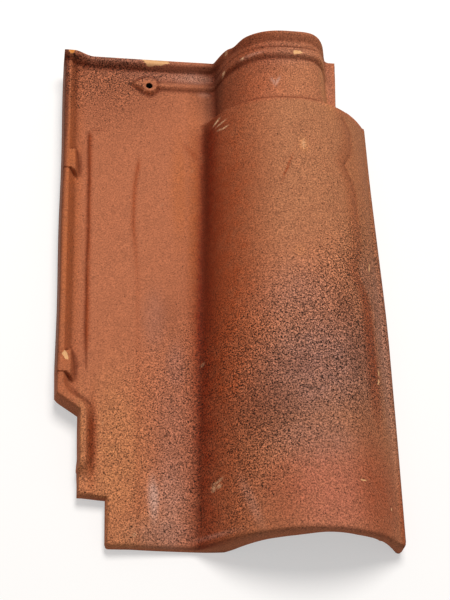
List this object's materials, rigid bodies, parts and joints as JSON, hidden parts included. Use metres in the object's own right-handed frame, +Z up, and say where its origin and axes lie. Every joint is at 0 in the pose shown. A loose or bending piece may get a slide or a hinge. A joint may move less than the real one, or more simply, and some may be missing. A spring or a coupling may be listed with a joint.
{
  "type": "interlocking clay roof tile",
  "caption": "Fired clay roof tile with a flat water channel, a conical roll, a narrower head collar, a left side lock, a nail hole and hanging nibs.",
  "frame": {"origin": "centre of the tile's bounding box, on the floor it lies on", "axes": "+X towards the roll, +Y towards the head (the ridge side), +Z up; the tile lies face up as it rests unheld"},
  "size_m": [0.2766, 0.4538, 0.0835],
  "materials": {
    "fired_clay": "matt unglazed terracotta with a sprayed dark speckle"
  },
  "bodies": {
    "root": {"roof_tile": "fired_clay"}
  },
  "joints": []
}
